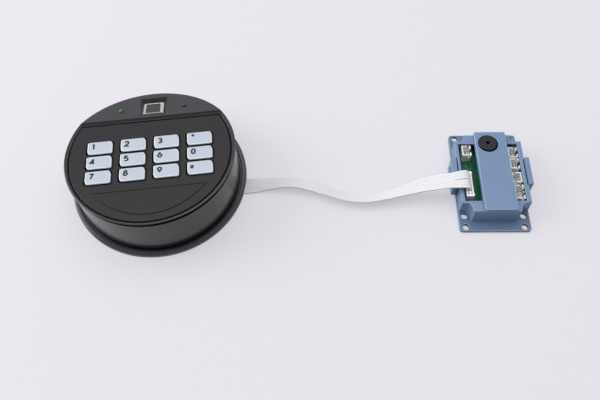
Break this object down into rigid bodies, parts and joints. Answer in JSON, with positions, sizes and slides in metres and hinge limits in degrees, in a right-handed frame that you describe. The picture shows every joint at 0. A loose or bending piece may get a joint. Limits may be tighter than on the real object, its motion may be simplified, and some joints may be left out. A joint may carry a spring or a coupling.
{
  "type": "electronic safe lock",
  "caption": "Electronic safe lock: a round keypad with a sloping top, number keys and a fingerprint reader, joined by a flat ribbon cable to a small control box with an open board.",
  "frame": {"origin": "centre of the keypad's two fixing screws, on the keypad's back face, which lies on the door or table", "axes": "+Z out of the keypad's back face towards its keys; +X from the keypad towards the control box; the keypad's own upright direction is turned 6.5 degrees from +Y towards -X"},
  "size_m": [0.2873, 0.1102, 0.0353],
  "materials": {
    "black_plastic": "fine satin texture, charcoal black",
    "panel_plastic": "fine satin texture, charcoal black",
    "key_plastic": "smooth silver grey, slightly blue",
    "mat_rubber": "soft moulded silicone",
    "circuit_board": "green solder mask",
    "screw_steel": "zinc plated",
    "bezel_metal": "bright plated",
    "reader_glass": "dark glass",
    "chip_plastic": "moulded epoxy",
    "lamp_green": "tinted clear epoxy",
    "lamp_red": "tinted clear epoxy",
    "connector_white": "natural white nylon",
    "ribbon_white": "white insulation",
    "box_blue": "satin grey blue",
    "buzzer_plastic": "dark grey moulding",
    "pin_metal": "tin plated"
  },
  "bodies": {
    "lock": {"base_ring": "black_plastic", "housing": "black_plastic", "faceplate": "black_plastic", "keypad_panel": "panel_plastic", "key_mat": "mat_rubber", "keypad_board": "circuit_board", "keypad_board_screws": "screw_steel", "faceplate_screws": "screw_steel", "sensor_bezel": "bezel_metal", "sensor_glass": "reader_glass", "sensor_module": "chip_plastic", "led_green": "lamp_green", "led_red": "lamp_red", "keypad_socket": "connector_white", "keypad_plug": "connector_white", "ribbon_inner": "ribbon_white", "ribbon_cable": "ribbon_white", "ribbon_plug": "connector_white", "control_base": "box_blue", "control_cover": "box_blue", "control_board": "circuit_board", "control_board_screws": "screw_steel", "board_chips": "chip_plastic", "buzzer": "buzzer_plastic", "ribbon_header": "connector_white", "header_battery": "connector_white", "header_door": "connector_white", "header_solenoid": "connector_white", "header_alarm": "connector_white", "header_service": "connector_white", "contact_pins": "pin_metal"},
    "key_1": {"key_1": "key_plastic"},
    "key_2": {"key_2": "key_plastic"},
    "key_3": {"key_3": "key_plastic"},
    "key_4": {"key_4": "key_plastic"},
    "key_5": {"key_5": "key_plastic"},
    "key_6": {"key_6": "key_plastic"},
    "key_7": {"key_7": "key_plastic"},
    "key_8": {"key_8": "key_plastic"},
    "key_9": {"key_9": "key_plastic"},
    "key_0": {"key_0": "key_plastic"},
    "key_star": {"key_star": "key_plastic"},
    "key_hash": {"key_hash": "key_plastic"}
  },
  "joints": [
    {"name": "key_1_press", "type": "slide", "parent": "lock", "child": "key_1", "axis": [0.0068, -0.0598, -0.9982], "range_m": [0, 0.001], "stiffness_N_per_m": 600, "springref_m": -0.0005},
    {"name": "key_2_press", "type": "slide", "parent": "lock", "child": "key_2", "axis": [0.0068, -0.0598, -0.9982], "range_m": [0, 0.001], "stiffness_N_per_m": 600, "springref_m": -0.0005},
    {"name": "key_3_press", "type": "slide", "parent": "lock", "child": "key_3", "axis": [0.0068, -0.0598, -0.9982], "range_m": [0, 0.001], "stiffness_N_per_m": 600, "springref_m": -0.0005},
    {"name": "key_4_press", "type": "slide", "parent": "lock", "child": "key_4", "axis": [0.0068, -0.0598, -0.9982], "range_m": [0, 0.001], "stiffness_N_per_m": 600, "springref_m": -0.0005},
    {"name": "key_5_press", "type": "slide", "parent": "lock", "child": "key_5", "axis": [0.0068, -0.0598, -0.9982], "range_m": [0, 0.001], "stiffness_N_per_m": 600, "springref_m": -0.0005},
    {"name": "key_6_press", "type": "slide", "parent": "lock", "child": "key_6", "axis": [0.0068, -0.0598, -0.9982], "range_m": [0, 0.001], "stiffness_N_per_m": 600, "springref_m": -0.0005},
    {"name": "key_7_press", "type": "slide", "parent": "lock", "child": "key_7", "axis": [0.0068, -0.0598, -0.9982], "range_m": [0, 0.001], "stiffness_N_per_m": 600, "springref_m": -0.0005},
    {"name": "key_8_press", "type": "slide", "parent": "lock", "child": "key_8", "axis": [0.0068, -0.0598, -0.9982], "range_m": [0, 0.001], "stiffness_N_per_m": 600, "springref_m": -0.0005},
    {"name": "key_9_press", "type": "slide", "parent": "lock", "child": "key_9", "axis": [0.0068, -0.0598, -0.9982], "range_m": [0, 0.001], "stiffness_N_per_m": 600, "springref_m": -0.0005},
    {"name": "key_0_press", "type": "slide", "parent": "lock", "child": "key_0", "axis": [0.0068, -0.0598, -0.9982], "range_m": [0, 0.001], "stiffness_N_per_m": 600, "springref_m": -0.0005},
    {"name": "key_star_press", "type": "slide", "parent": "lock", "child": "key_star", "axis": [0.0068, -0.0598, -0.9982], "range_m": [0, 0.001], "stiffness_N_per_m": 600, "springref_m": -0.0005},
    {"name": "key_hash_press", "type": "slide", "parent": "lock", "child": "key_hash", "axis": [0.0068, -0.0598, -0.9982], "range_m": [0, 0.001], "stiffness_N_per_m": 600, "springref_m": -0.0005}
  ]
}
